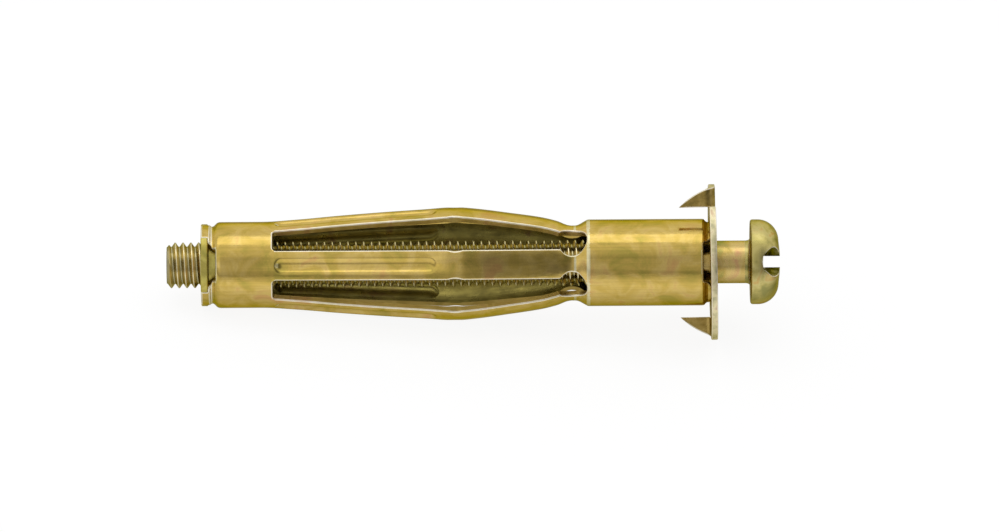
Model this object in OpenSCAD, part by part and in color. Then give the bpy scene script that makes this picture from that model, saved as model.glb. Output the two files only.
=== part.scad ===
// Hollow-wall anchor: a split sheet-steel sleeve with a nut crimped in its rear
// end, a toothed flange staked on its front end, and the machine screw that
// draws the nut forward. Millimetres. X runs along the screw towards its head,
// and X = 0 is the side of the flange that lies on the wall. Z is up: the anchor
// lies on its side, on the nut's rim and the notch that one tooth leaves in the
// flange.

/* [Sleeve] */
// Thickness of the sleeve's sheet
sheet = 0.6; // [0.55:0.05:0.65]
// Number of legs between the two unslotted rings
legs = 5;
// Width of one leg, the same along its whole length
leg_w = 3.05; // [2.9:0.05:3.2]
// Outer radius of the plain collar behind the flange
collar_r = 4.42; // [4.38:0.01:4.5]
// Outer radius of the rear ring that holds the nut
ring_r = 4.39; // [4.35:0.01:4.45]
// Outer radius at the knee, where each leg folds outwards
knee_r = 5.76; // [5.6:0.02:5.9]
// Place of the knee's middle
knee_x = -26.1; // [-26.3:0.1:-25.9]
// Outer radius at the bottom of the neck, where each leg hinges on the collar
neck_r = 3.86; // [3.8:0.01:3.95]
// Rear end of the slots between the legs
slot_x = -44.7; // [-45.0:0.1:-44.4]
// Place of the neck and of the round holes that end the slots
neck_x = -14.25; // [-14.4:0.05:-14.1]
// Diameter of the round holes that end the slots
relief_d = 3.06; // [2.9:0.02:3.2]

/* [Leg stiffening grooves] */
// Rear end of the pressed groove
groove_x0 = -44.6; // [-44.7:0.1:-43.5]
// Front end of the pressed groove
groove_x1 = -27.9; // [-29.0:0.1:-27.6]
// Radius of the groove's round section
groove_r = 0.9; // [0.85:0.05:0.95]
// How deep the groove is pressed in
groove_deep = 0.38; // [0.3:0.02:0.42]
// How deep the knee's edges are nicked
nick_deep = 0.2; // [0.1:0.05:0.25]
// Radius of the nicks
nick_r = 1.9; // [1.5:0.1:2.2]

/* [Tabs that hold the nut and the flange] */
// Number of tabs on each end of the sleeve
tabs = 3;
// Outer radius of the tabs in the nut
rear_tab_r = 4.15; // [4.12:0.01:4.17]
// Outer radius of the tabs in the flange
front_tab_r = 4.11; // [4.06:0.01:4.15]
// Gap between a tab and the slot or notch it sits in
tab_gap = 0.06; // [0.05:0.01:0.08]

/* [Nut] */
// Face of the nut's rim at the rear end of the anchor
nut_x = -52.0; // [-52.1:0.05:-51.95]
// Thickness of the rim
rim_t = 0.7; // [0.65:0.05:0.75]
// Outer radius of the rim
rim_r = 4.18; // [4.16:0.01:4.22]
// Outer radius of the threaded boss inside the sleeve
boss_r = 3.2; // [3.1:0.05:3.25]
// Depth of the threaded boss
boss_l = 3.6; // [3:0.1:4.2]

/* [Flange] */
// Outer diameter of the flange
flange_d = 15.88; // [15.6:0.02:16.2]
// Thickness of the flange
flange_t = 0.66; // [0.6:0.02:0.7]
// Diameter of the hole that the screw passes through
flange_bore = 5.4; // [5.2:0.1:5.6]
// Distance of a tooth's straight edge from the screw's axis
tooth_in = 5.6; // [5.4:0.1:5.8]
// How far a tooth's point stands out behind the flange
tooth_l = 3.2; // [2.9:0.1:3.4]
// Radius on the inside of the fold
fold_r = 0.35; // [0.3:0.05:0.4]
// Depth of the coined seat where the sleeve is staked on
seat_deep = 0.1; // [0.08:0.01:0.14]

/* [Screw] */
// Outer diameter of the screw thread
thread_d = 4.8; // [4.7:0.05:4.8]
// Diameter of the plain shank under the head
shank_d = 4.36; // [4.3:0.02:4.4]
// Underside of the head, with the screw part way out as supplied
head_x = 3.98; // [3.5:0.1:4.5]
// Length of the screw under its head
screw_l = 59.5; // [58:0.5:61]
// Length of the plain shank
shank_l = 12; // [11:0.5:13]
// Diameter of the head
head_d = 8.66; // [8.5:0.02:8.8]
// Height of the head
head_h = 3.06; // [3.0:0.02:3.2]
// Width of the screwdriver slot
drive_w = 1.0; // [0.9:0.05:1.1]
// Depth of the screwdriver slot
drive_deep = 1.62; // [1.4:0.02:1.7]
// Depth of the cross recess
cross_deep = 2.2; // [2.0:0.1:2.4]
// Length of one arm of the cross recess from the centre
cross_arm = 2.3; // [2.1:0.1:2.5]
// Radial running clearance of the screw thread in the nut
thread_gap = 0.05; // [0.03:0.01:0.08]

/* [Hidden] */
$fn = 48;
eps = 0.01;
far = 12;
leg_pitch = 360 / legs;
// How far the legs are turned about the axis from the tabs
leg_turn = 1.5;
tab_pitch = 360 / tabs;
// Angle about the axis at which legs and tabs are counted from, a quarter turn
// from the teeth
front_a = -90;
flange_r = flange_d / 2;
tooth_a = [180, 0];
// How a tooth folds out of the flat sheet: the fold takes up fold_len of it
fold_len = 90 * PI / 180 * (fold_r + flange_t / 2);
tip_y = sqrt(pow(flange_r, 2) - pow(tooth_in, 2));
fold_y = tip_y - (tooth_l - fold_r) - fold_len;
// The anchor is turned about its axis until a notch's two corners are level
corner_y = fold_y + fold_r + flange_t;
corner_z = sqrt(pow(flange_r, 2) - pow(corner_y, 2));
lie_a = atan2(corner_z - tooth_in, tip_y - corner_y);

// Outer line of the sleeve as [x, r], from the nut to the flange
outer_line = [
    [nut_x, rear_tab_r],
    [nut_x + rim_t, rear_tab_r],
    [-50.9, 3.93],
    [-50.5, 4.05],
    [-50.1, ring_r],
    [-45.9, ring_r],
    [-42.2, 4.60],
    [-38.2, 4.95],
    [-33.2, 5.33],
    [-29.0, 5.60],
    [knee_x - 0.5, knee_r],
    [knee_x + 0.5, knee_r],
    [-24.3, knee_r - 0.10],
    [-20.6, 5.18],
    [-17.3, 4.69],
    [-15.8, 4.33],
    [neck_x - 0.5, neck_r + 0.03],
    [neck_x + 0.2, neck_r + 0.01],
    [neck_x + 1.75, collar_r - 0.02],
    [neck_x + 2.4, collar_r],
    [-0.85, collar_r],
    [-0.6, front_tab_r],
    [flange_t - 0.03, front_tab_r]
];
line_end = len(outer_line) - 1;

// The sleeve's wall in section; the crimp's steep step keeps its inner side smooth
inner_line = [for (i = [line_end:-1:0])
    [outer_line[i][0], outer_line[i][1] - sheet]];

// Recesses between two tabs, as [x, half width]
rear_recess = [[-50.56, 1.6], [nut_x + rim_t, 2.72]];
front_recess = [[-0.83, 1.89], [-0.3, 2.2], [1, 2.3]];
// Half the angle that a tab covers where it passes through the nut or the flange
rear_tab_a = 18;
front_tab_a = 20;
// Where the wide root of a front tab stops on the flange's seat
root_x = seat_deep - 0.02;

// The groove follows the leg's surface between its two ends
groove_ra = 4.47;
groove_rb = 5.66;
groove_tilt = atan2(groove_rb - groove_ra, groove_x1 - groove_x0);
groove_len = norm([groove_x1 - groove_x0, groove_rb - groove_ra]);

// Lays a form built along Z onto the X axis, and turns it as it comes to rest
module along_x() {
    rotate([-lie_a, 0, 0]) rotate([0, 90, 0]) children();
}

// Repeats a form built on +X around the axis, starting at the front
module around(count, start) {
    for (i = [0:count - 1])
        rotate([0, 0, front_a + start + i * 360 / count]) children();
}

// One cut between two legs, with sides parallel to the legs
module slot_cut() {
    apex = leg_w / 2 / sin(leg_pitch / 2);
    spread = (far - apex) * tan(leg_pitch / 2);
    translate([0, 0, slot_x])
        linear_extrude(neck_x - slot_x)
            polygon([[apex, 0], [far, -spread], [far, spread]]);
    translate([0, 0, neck_x])
        rotate([0, 90, 0])
            cylinder(d = relief_d, h = far);
}

// A recess between two tabs; pts are [x, half width]
module recess_cut(pts) {
    n = len(pts) - 1;
    other = [for (i = [n:-1:0]) [-pts[i][0], -pts[i][1]]];
    same = [for (p = pts) [-p[0], p[1]]];
    translate([2, 0, 0])
        rotate([0, 90, 0])
            linear_extrude(far - 2)
                polygon(concat(same, other));
}

// A wedge with its edge on the axis, half_a to each side of +X
module sector(half_a, height) {
    reach = far * tan(half_a);
    linear_extrude(height)
        polygon([[0, 0], [far, -reach], [far, reach]]);
}

// A round-ended bar along the leg's surface, for the groove and its inner ridge
module groove_bar(r) {
    translate([groove_ra + groove_r - groove_deep, 0, groove_x0 + groove_r])
        rotate([0, groove_tilt, 0]) {
            cylinder(r = r, h = groove_len - 2 * groove_r);
            sphere(r = r);
            translate([0, 0, groove_len - 2 * groove_r]) sphere(r = r);
        }
}

// The part of the ridge that stands inside the leg's wall
module groove_ridge() {
    intersection() {
        groove_bar(groove_r + sheet);
        translate([groove_ra - 0.5 * sheet, 0, groove_x0 + groove_r])
            rotate([0, groove_tilt, 0])
                translate([-far, -far / 2, -far / 2])
                    cube([far, far, groove_len + far]);
    }
}

// The nicks that start the fold at the knee
module knee_nicks() {
    for (side = [-1, 1])
        translate([neck_r, side * (leg_w / 2 + nick_r - nick_deep), knee_x])
            rotate([0, 90, 0])
                cylinder(r = nick_r, h = far);
}

module anchor_sleeve() {
    color("Goldenrod")
        along_x()
            difference() {
                union() {
                    rotate_extrude()
                        polygon([for (p = concat(outer_line, inner_line)) [p[1], p[0]]]);
                    around(legs, leg_turn) groove_ridge();
                }
                around(legs, leg_turn + leg_pitch / 2) slot_cut();
                around(legs, leg_turn) groove_bar(groove_r);
                around(legs, leg_turn) knee_nicks();
                around(tabs, 0) {
                    recess_cut(rear_recess);
                    recess_cut(front_recess);
                    translate([0, 0, nut_x - 1])
                        sector(tab_pitch / 2 - rear_tab_a, rim_t + 1);
                    translate([0, 0, root_x])
                        sector(tab_pitch / 2 - front_tab_a, 1);
                }
            }
}

module end_nut() {
    bore_r = thread_d / 2 + thread_gap;
    notch_r = rear_tab_r - sheet - tab_gap;
    notch_a = rear_tab_a + asin(tab_gap / notch_r);
    color("Olive")
        along_x()
            translate([0, 0, nut_x])
                difference() {
                    union() {
                        cylinder(r = rim_r, h = rim_t);
                        cylinder(r = boss_r, h = rim_t + boss_l);
                    }
                    translate([0, 0, -1])
                        cylinder(r = bore_r, h = rim_t + boss_l + 2);
                    around(tabs, tab_pitch / 2)
                        translate([0, 0, -1])
                            difference() {
                                sector(notch_a, rim_t + 1 + eps);
                                cylinder(r = notch_r, h = 3);
                            }
                }
}

// One tooth folded down from the flange, with its fold beside the radius +X
module folded_tooth() {
    flat_y = fold_y + fold_len;
    intersection() {
        translate([0, fold_y, -fold_r])
            rotate([0, 90, 0])
                rotate([0, 0, 90])
                    rotate_extrude(angle = 90)
                        translate([fold_r, tooth_in])
                            square([flange_t, far]);
        translate([0, 0, -1]) cylinder(r = flange_r, h = 2);
    }
    translate([0, corner_y, -fold_r])
        rotate([90, 0, 0])
            linear_extrude(flange_t)
                intersection() {
                    translate([0, flat_y]) circle(r = flange_r);
                    translate([tooth_in, -far]) square([far, far]);
                }
}

module toothed_flange() {
    slot_in = front_tab_r - sheet - tab_gap;
    slot_a = front_tab_a + asin(tab_gap / slot_in);
    color("DarkKhaki")
        along_x() {
            difference() {
                cylinder(r = flange_r, h = flange_t);
                translate([0, 0, -1]) cylinder(d = flange_bore, h = 3);
                translate([0, 0, -1]) cylinder(r = collar_r + 0.15, h = 1 + seat_deep);
                translate([0, 0, -1])
                    difference() {
                        around(tabs, tab_pitch / 2) sector(slot_a, 3);
                        cylinder(r = slot_in, h = 4);
                        difference() {
                            cylinder(r = 2 * far, h = 4);
                            cylinder(r = front_tab_r + tab_gap, h = 4);
                        }
                    }
                for (a = tooth_a)
                    rotate([0, 0, a])
                        translate([tooth_in, fold_y, -1])
                            cube([far, far, 3]);
            }
            for (a = tooth_a)
                rotate([0, 0, a]) folded_tooth();
        }
}

// The head's outline: flat underside, round rim and a low dome
module head_outline() {
    rim_arc = 2.13;
    flat_r = head_d / 2 - rim_arc;
    dome_r = 15;
    edge_r = 0.25;
    difference() {
        union() {
            translate([flat_r, 0.77]) circle(r = rim_arc);
            square([flat_r, 2.9]);
            square([head_d / 2 - edge_r, 0.77]);
            translate([0, edge_r]) square([head_d / 2, 0.77 - edge_r]);
            translate([head_d / 2 - edge_r, edge_r]) circle(r = edge_r);
            intersection() {
                square([flat_r, head_h]);
                translate([0, head_h - dome_r]) circle(r = dome_r);
            }
        }
        translate([-far, -2 * far]) square([2 * far, 2 * far]);
        translate([-far, -far]) square([far, 2 * far]);
    }
}

// The slot with its flared ends and the cross recess, cut from the top of the head
module drive_cut() {
    top = head_h;
    flare_r = 1.67;
    flare_end = head_d / 2;
    flare_start = 1.6;
    flare_in = 0.35;
    translate([-drive_w / 2, -far / 2, top - drive_deep])
        cube([drive_w, far, far]);
    for (side = [-1, 1])
        translate([0, side * flare_start, top - 0.14])
            rotate([-side * 90, 0, 0])
                cylinder(r1 = flare_in, r2 = flare_r, h = flare_end - flare_start);
    foot = cross_arm - 1.0;
    for (turn = [0, 90])
        rotate([0, 0, turn])
            translate([0, drive_w / 2 - 0.04, top - cross_deep])
                rotate([90, 0, 0])
                    linear_extrude(drive_w - 0.08)
                        polygon([[-foot, 0], [foot, 0], [cross_arm, cross_deep + 1],
                                 [-cross_arm, cross_deep + 1]]);
}

module machine_screw() {
    tip_x = head_x - screw_l;
    thread_end = head_x - shank_l;
    chamfer = 0.45;
    thread_r = thread_d / 2;
    shank_r = shank_d / 2;
    fillet = 0.4;
    color("Gold")
        along_x() {
            rotate_extrude()
                polygon([[0, tip_x], [thread_r - chamfer, tip_x], [thread_r, tip_x + chamfer],
                         [thread_r, thread_end - 0.3], [shank_r, thread_end + 0.1],
                         [shank_r, head_x - fillet], [shank_r + 0.1, head_x - 0.15],
                         [shank_r + 0.3, head_x + eps], [0, head_x + eps]]);
            translate([0, 0, head_x])
                difference() {
                    rotate_extrude() head_outline();
                    drive_cut();
                }
        }
}

anchor_sleeve();
end_nut();
toothed_flange();
machine_screw();
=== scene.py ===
"""Looks of a hollow-wall anchor: a split sheet-steel sleeve with its crimped nut, a
toothed flange and a slotted machine screw, all yellow zinc plated.

Every form is drawn in millimetres about the screw's axis (X towards the head, the
viewer's side at -Y, up at +Z), then laid down and brought to metres in one step.
"""

import math

import bmesh
import bpy
from mathutils import Matrix, Vector


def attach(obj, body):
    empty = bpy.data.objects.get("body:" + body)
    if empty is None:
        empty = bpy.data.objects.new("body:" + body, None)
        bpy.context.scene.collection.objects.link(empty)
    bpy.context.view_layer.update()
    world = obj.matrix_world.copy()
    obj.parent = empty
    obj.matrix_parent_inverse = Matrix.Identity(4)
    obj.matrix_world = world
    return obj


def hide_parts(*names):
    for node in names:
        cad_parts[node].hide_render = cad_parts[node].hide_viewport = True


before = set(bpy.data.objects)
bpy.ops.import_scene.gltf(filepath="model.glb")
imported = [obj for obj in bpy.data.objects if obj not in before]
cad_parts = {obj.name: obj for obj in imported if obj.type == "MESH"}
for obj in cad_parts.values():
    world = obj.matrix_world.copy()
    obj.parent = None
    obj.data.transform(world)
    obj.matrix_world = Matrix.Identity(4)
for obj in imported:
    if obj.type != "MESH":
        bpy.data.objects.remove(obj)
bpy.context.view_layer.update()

# -------------------- sizes, mm
# A millimetre in the frame's metres
MM = 0.001

# Sleeve: its sheet, its rings, and the slots with the round holes that end them
SHEET = 0.6
LEGS = 5
TABS = 3
LEG_HALF = 3.1 / 2
# The legs stand turned a little from the tabs
LEG_TURN = math.radians(-1.5)
COLLAR_R = 4.42
RING_R = 4.39
KNEE_R = 5.76
NECK_R = 3.86
KNEE_X = -26.1
NECK_X = -14.25
SLOT_X = -44.7
SLOT_CORNER = 0.35
RELIEF_R = 3.06 / 2
# Nicks that the fold leaves in the knee's edges, and the swelling inside them
NICK_R, NICK_DEEP, NICK_BULGE = 1.9, 0.15, 0.1
# Pressed groove that stiffens a leg
GROOVE_X0, GROOVE_X1, GROOVE_R, GROOVE_DEEP, GROOVE_EDGE = -44.6, -27.9, 0.9, 0.38, 0.07
# Tabs that hold the nut and the flange, and the recesses between them
REAR_TAB_R, FRONT_TAB_R, TAB_GAP = 4.15, 4.11, 0.06
REAR_TAB_TURN, FRONT_TAB_TURN = math.radians(18), math.radians(20)
REAR_RECESS_X, FRONT_RECESS_X, RECESS_CORNER = -50.56, -0.83, 0.25

# Nut: its rim, the boss inside the sleeve, and its thread just clear of the screw's
NUT_X, RIM_T, RIM_R, BOSS_R, BOSS_L = -52.0, 0.7, 4.18, 3.2, 3.6
NUT_CREST_R, NUT_ROOT_R, NUT_SINK = 2.43, 2.78, 0.35

# Flange, which leans a little as it was staked
FLANGE_R, FLANGE_T, FLANGE_BORE_R = 7.94, 0.66, 2.7
FLANGE_X, FLANGE_LEAN = -0.13, math.radians(0.9)
SEAT_R, SEAT_DEEP, SEAT_SLOPE = COLLAR_R + 0.15, 0.1, 0.16
TOOTH_IN, TOOTH_L, FOLD_R = 5.6, 3.06, 0.35

# Screw: rolled thread, plain shank, head, and the slot and cross struck into it
THREAD_R, THREAD_DEEP, PITCH, SHANK_R = 2.33, 0.42, 0.8, 2.18
HEAD_X, SCREW_L, SHANK_L = 3.98, 59.5, 12.0
HEAD_R, HEAD_H, HEAD_SIDE, HEAD_ROUND, DOME_R = 4.33, 3.06, 0.77, 2.13, 15.0
DRIVE_W, DRIVE_DEEP, CROSS_DEEP, CROSS_ARM = 1.14, 1.78, 2.3, 2.3
TIP_X, THREAD_END, TOP_X = HEAD_X - SCREW_L, HEAD_X - SHANK_L, HEAD_X + HEAD_H
# Where the thread's crests stand as the screw is turned in the nut
THREAD_TURN = math.radians(63)

# Worked out: the length of a tooth's fold, and the corners of the notch it leaves
FOLD_LEN = math.pi / 2 * (FOLD_R + FLANGE_T / 2)
NOTCH_Y = math.sqrt(FLANGE_R ** 2 - TOOTH_IN ** 2)
FOLD_Y = NOTCH_Y - (TOOTH_L - FOLD_R) - FOLD_LEN
CORNER_Y = FOLD_Y + FOLD_R + FLANGE_T
CORNER_Z = math.sqrt(FLANGE_R ** 2 - CORNER_Y ** 2)
LIE = math.atan2(CORNER_Z - TOOTH_IN, NOTCH_Y - CORNER_Y)

# The anchor turns about its axis until it rests on the flange's notch
LAY_DOWN = Matrix.Rotation(-LIE, 4, "X")
TO_FRAME = LAY_DOWN @ Matrix.Scale(MM, 4)


# -------------------- helpers
def hue(code):
    """An sRGB hex colour as the linear colour that shaders take."""
    parts = [int(code[i:i + 2], 16) / 255 for i in (1, 3, 5)]
    linear = [p / 12.92 if p <= 0.04045 else ((p + 0.055) / 1.055) ** 2.4 for p in parts]
    return (*linear, 1.0)


def add(tree, kind, settings=None, inputs=None):
    """Adds a node: settings are its own options, inputs are values, sockets or nodes."""
    made = tree.nodes.new(kind)
    for name, value in (settings or {}).items():
        setattr(made, name, value)
    for name, value in (inputs or {}).items():
        if isinstance(value, bpy.types.Node):
            value = value.outputs[0]
        if isinstance(value, bpy.types.NodeSocket):
            tree.links.new(value, made.inputs[name])
        else:
            made.inputs[name].default_value = value
    return made


def blank(owner):
    """The node tree of a material or world, emptied."""
    owner.use_nodes = True
    owner.node_tree.nodes.clear()
    return owner.node_tree


def thing(name, mesh):
    """Puts a mesh into the scene as an object."""
    made = bpy.data.objects.new(name, mesh)
    bpy.context.scene.collection.objects.link(made)
    return made


def baked(obj):
    """The object's mesh with its modifiers worked in; the object itself goes."""
    bpy.context.view_layer.update()
    graph = bpy.context.evaluated_depsgraph_get()
    mesh = bpy.data.meshes.new_from_object(obj.evaluated_get(graph))
    obj.modifiers.clear()
    bpy.data.objects.remove(obj)
    return mesh


def mesh_of(points, faces):
    """A mesh from points and faces."""
    mesh = bpy.data.meshes.new("form")
    mesh.from_pydata([tuple(p) for p in points], [], faces)
    return mesh


def dress(mesh, materials):
    """Gives a mesh its finishes and keeps which face wears which."""
    worn = [face.material_index for face in mesh.polygons]
    mesh.materials.clear()
    for material in materials:
        mesh.materials.append(material)
    mesh.polygons.foreach_set("material_index", worn)


def welded(meshes, gap=1e-4):
    """Several meshes as one, with the points that meet merged."""
    form = bmesh.new()
    for mesh in meshes:
        form.from_mesh(mesh)
    bmesh.ops.remove_doubles(form, verts=form.verts, dist=gap)
    bmesh.ops.dissolve_degenerate(form, edges=form.edges, dist=gap)
    mesh = bpy.data.meshes.new("welded")
    form.to_mesh(mesh)
    form.free()
    return mesh


def outward(mesh):
    """Turns all faces the same way round, away from the axis where the form is open."""
    form = bmesh.new()
    form.from_mesh(mesh)
    bmesh.ops.recalc_face_normals(form, faces=form.faces)
    if any(edge.is_boundary for edge in form.edges):
        away = sum(f.normal.dot(Vector((0, *f.calc_center_median().yz))) * f.calc_area()
                   for f in form.faces)
        if away < 0:
            bmesh.ops.reverse_faces(form, faces=form.faces)
    form.to_mesh(mesh)
    form.free()
    return mesh


def softened(mesh, width, segments, angle, finish, kept_sharp=None):
    """The mesh with edges sharper than angle rounded off, in the finish of that number."""
    form = bmesh.new()
    form.from_mesh(mesh)
    weight = form.edges.layers.float.new("bevel_weight_edge")
    for edge in form.edges:
        middle = (edge.verts[0].co + edge.verts[1].co) / 2
        if (len(edge.link_faces) == 2 and edge.calc_face_angle() > math.radians(angle)
                and not (kept_sharp and kept_sharp(middle))):
            edge[weight] = 1.0
    form.to_mesh(mesh)
    form.free()
    obj = thing("softening", mesh)
    soft = obj.modifiers.new("edge", "BEVEL")
    soft.limit_method, soft.width, soft.segments = "WEIGHT", width, segments
    soft.use_clamp_overlap, soft.material = False, finish
    return baked(obj)


def thickened(mesh, thick, inner, rim):
    """A skin given its thickness, inwards.

    Its inner side and its edges wear the finishes inner and rim places after the skin's.
    """
    obj = thing("sheet", mesh)
    wall = obj.modifiers.new("wall", "SOLIDIFY")
    wall.thickness, wall.offset, wall.use_even_offset = thick, -1, True
    wall.material_offset, wall.material_offset_rim = inner, rim
    return baked(obj)


def finished(name, mesh, materials, body, nodes, sharp=35):
    """Lays a form down in the frame and rides it on its body."""
    mesh.transform(TO_FRAME)
    dress(mesh, materials)
    mesh.shade_smooth()
    mesh.set_sharp_from_angle(angle=math.radians(sharp))
    obj = thing(name, mesh)
    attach(obj, body)
    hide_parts(*nodes)
    return obj


def blend_line(line, x):
    """Reads a smooth line through [x, value] points without overshoot."""
    if x <= line[0][0]:
        return line[0][1]
    if x >= line[-1][0]:
        return line[-1][1]
    at = max(i for i in range(len(line) - 1) if line[i][0] <= x)
    rise = [(b[1] - a[1]) / (b[0] - a[0]) for a, b in zip(line, line[1:])]

    def slope(i):
        if i in (0, len(line) - 1):
            return 0.0
        before, after = rise[i - 1], rise[i]
        return 0.0 if before * after <= 0 else 2 * before * after / (before + after)

    (xa, a), (xb, b) = line[at], line[at + 1]
    h = xb - xa
    t = (x - xa) / h
    return (a * (1 + 2 * t) * (1 - t) ** 2 + slope(at) * h * t * (1 - t) ** 2
            + b * t * t * (3 - 2 * t) + slope(at + 1) * h * t * t * (t - 1))


def spread(start, end, count):
    """Evenly spread values, both ends included."""
    return [start + (end - start) * i / count for i in range(count + 1)]


def sheet_of(rows):
    """A mesh of quads through rows of equally many points."""
    across = len(rows[0])
    faces = [(r * across + c, r * across + c + 1, (r + 1) * across + c + 1, (r + 1) * across + c)
             for r in range(len(rows) - 1) for c in range(across - 1)]
    return mesh_of([point for row in rows for point in row], faces)


def polar(x, r, turn):
    """The place at a radius and a turn, counted from the viewer's side and upwards."""
    return (x, -r * math.cos(turn), r * math.sin(turn))


def turn_of(place):
    """The turn at which a place stands."""
    return math.atan2(place.z, -place.y)


def off_middle(turn, half_pitch):
    """How far a turn is from the nearest of the middles that stand all round."""
    return turn - 2 * half_pitch * round(turn / (2 * half_pitch))


def turned(profile, segments):
    """Turns an [x, r] profile about the axis; a point on the axis is a pole."""
    turns = spread(0, 2 * math.pi, segments)
    return sheet_of([[polar(x, r, a) for a in turns] for x, r in profile])


def arc(x, r, radius, start, end, count):
    """[x, r] points on an arc about [x, r], degrees counted from outwards to the head."""
    return [(x + radius * math.sin(a), r + radius * math.cos(a))
            for a in spread(math.radians(start), math.radians(end), count)]


# -------------------- camera
# Pixels across the view and in a millimetre of the anchor
FRAME_W, PX_PER_MM = 999, 9.8
SENSOR_W = 36
# Far enough away for a nearly parallel view, a little out of level
CAMERA_AWAY = 1300.0
AIM = Vector((-21.58, 0, -0.27))
ROLL = math.radians(0.36)

camera_data = bpy.data.cameras.new("camera")
camera_data.sensor_width = SENSOR_W
camera_data.lens = SENSOR_W * CAMERA_AWAY / (FRAME_W / PX_PER_MM)
camera_data.clip_start, camera_data.clip_end = 0.01, 20
camera = thing("camera", camera_data)
right = Vector((math.cos(ROLL), 0, -math.sin(ROLL)))
up = Vector((math.sin(ROLL), 0, math.cos(ROLL)))
back = Vector((0, -1, 0))
stand = Matrix((right, up, back)).transposed().to_4x4()
stand.translation = (AIM + back * CAMERA_AWAY) * MM
camera.matrix_world = LAY_DOWN @ stand
bpy.context.scene.camera = camera
bpy.context.scene.view_settings.view_transform = "Standard"


# -------------------- materials
def thread_tint_with_crest_highlight(tree, place, colour, roots, crests):
    """Tints a thread: roots is what gathers in its roots, crests the pale tint of its crests, a
    painted highlight.
    """
    across = add(tree, "ShaderNodeVectorMath", {"operation": "MULTIPLY"},
                 {0: place, 1: (0, 1 / MM, 1 / MM)})
    radius = add(tree, "ShaderNodeVectorMath", {"operation": "LENGTH"}, {0: across})
    deep = add(tree, "ShaderNodeMapRange", {}, {
        "Value": radius.outputs["Value"], "From Min": THREAD_R - THREAD_DEEP * 0.75,
        "From Max": THREAD_R - 0.04, "To Min": 1.0, "To Max": 0.0})
    along = add(tree, "ShaderNodeSeparateXYZ", {}, {"Vector": place})
    threaded = add(tree, "ShaderNodeMapRange", {}, {
        "Value": along.outputs["X"], "From Min": (THREAD_END - 0.6) * MM,
        "From Max": THREAD_END * MM, "To Min": 1.0, "To Max": 0.0})
    share = add(tree, "ShaderNodeMath", {"operation": "MULTIPLY"}, {0: deep, 1: threaded})
    dark = add(tree, "ShaderNodeMix", {"data_type": "RGBA"},
               {0: share, 6: colour, 7: hue(roots)})
    # Painted highlight: the crests are tinted pale
    high = add(tree, "ShaderNodeMapRange", {}, {
        "Value": radius.outputs["Value"], "From Min": THREAD_R - 0.1,
        "From Max": THREAD_R - 0.03})
    pale = add(tree, "ShaderNodeMix", {"data_type": "RGBA"},
               {0: high, 6: dark.outputs[2], 7: hue(crests)})
    return pale.outputs[2]


def chromate(name, tints, streaks, roughness, seed=0.0, patch=2.6, thread=None):
    """Yellow chromate over zinc plate: gold that drifts to olive and rose.

    tints are the olive, gold, straw and rose ends of the drift, patch is the size of a
    patch in mm, and seed moves the pattern along. streaks is how dark the fine lines of
    rolled steel are. thread gives the tints of a thread's roots and of its crests, whose pale
    tint is a painted highlight.
    """
    material = bpy.data.materials.new(name)
    tree = blank(material)
    place = add(tree, "ShaderNodeTexCoord").outputs["Object"]
    moved = add(tree, "ShaderNodeMapping", {}, {"Vector": place, "Location": (seed, seed, seed)})
    drift = add(tree, "ShaderNodeTexNoise", {},
                {"Vector": moved, "Scale": 1 / (patch * MM), "Detail": 3.0,
                 "Roughness": 0.55, "Distortion": 0.6})
    ramp = add(tree, "ShaderNodeValToRGB", {}, {"Fac": drift})
    stops = ramp.color_ramp.elements
    stops[0].position, stops[0].color = 0.32, hue(tints[0])
    stops[1].position, stops[1].color = 0.70, hue(tints[3])
    for at, tint in ((0.45, tints[1]), (0.57, tints[2])):
        stops.new(at).color = hue(tint)
    # Rolling lines a quarter of a millimetre apart and several millimetres long
    lines = add(tree, "ShaderNodeMapping", {}, {"Vector": place, "Scale": (0.03, 1.0, 1.0)})
    streak = add(tree, "ShaderNodeTexNoise", {},
                 {"Vector": lines, "Scale": 1 / (0.25 * MM), "Detail": 2.0, "Roughness": 0.6})
    streak_level = add(tree, "ShaderNodeMapRange", {}, {
        "Value": streak, "From Min": 0.3, "From Max": 0.7,
        "To Min": 1.0 - streaks, "To Max": 1.0})
    lined = add(tree, "ShaderNodeMix", {"data_type": "RGBA", "blend_type": "MULTIPLY"},
                {0: 1.0, 6: ramp, 7: streak_level})
    colour = lined.outputs[2]
    if thread:
        colour = thread_tint_with_crest_highlight(tree, place, colour, *thread)
    # Matte and bright patches from handling, about 1 mm across
    wear = add(tree, "ShaderNodeTexNoise", {},
               {"Vector": place, "Scale": 1 / (1.1 * MM), "Detail": 4.0})
    rough = add(tree, "ShaderNodeMapRange", {}, {
        "Value": wear, "From Min": 0.3, "From Max": 0.7,
        "To Min": roughness - 0.06, "To Max": roughness + 0.08})
    # Plating grain, drawn at 0.2 mm so that it shows
    grain = add(tree, "ShaderNodeTexNoise", {},
                {"Vector": place, "Scale": 1 / (0.2 * MM), "Detail": 3.0})
    height = add(tree, "ShaderNodeMath", {"operation": "ADD"}, {0: grain, 1: streak})
    bumped = add(tree, "ShaderNodeBump", {}, {
        "Strength": 0.05, "Distance": 0.1 * MM, "Height": height})
    # Slight waves from rolling and forming, about 5 mm long and 2 mm wide
    stretch = add(tree, "ShaderNodeMapping", {}, {"Vector": place, "Scale": (0.4, 1.0, 1.0)})
    wave = add(tree, "ShaderNodeTexNoise", {},
               {"Vector": stretch, "Scale": 1 / (2.0 * MM), "Detail": 1.0})
    waved = add(tree, "ShaderNodeBump", {}, {
        "Strength": 0.2, "Distance": 0.1 * MM, "Height": wave, "Normal": bumped})
    metal = add(tree, "ShaderNodeBsdfPrincipled", {}, {
        "Base Color": colour, "Metallic": 1.0, "Roughness": rough, "Normal": waved,
        "Specular Tint": hue("#dcd48c")})
    add(tree, "ShaderNodeOutputMaterial", {}, {"Surface": metal.outputs[0]})
    return material


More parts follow.
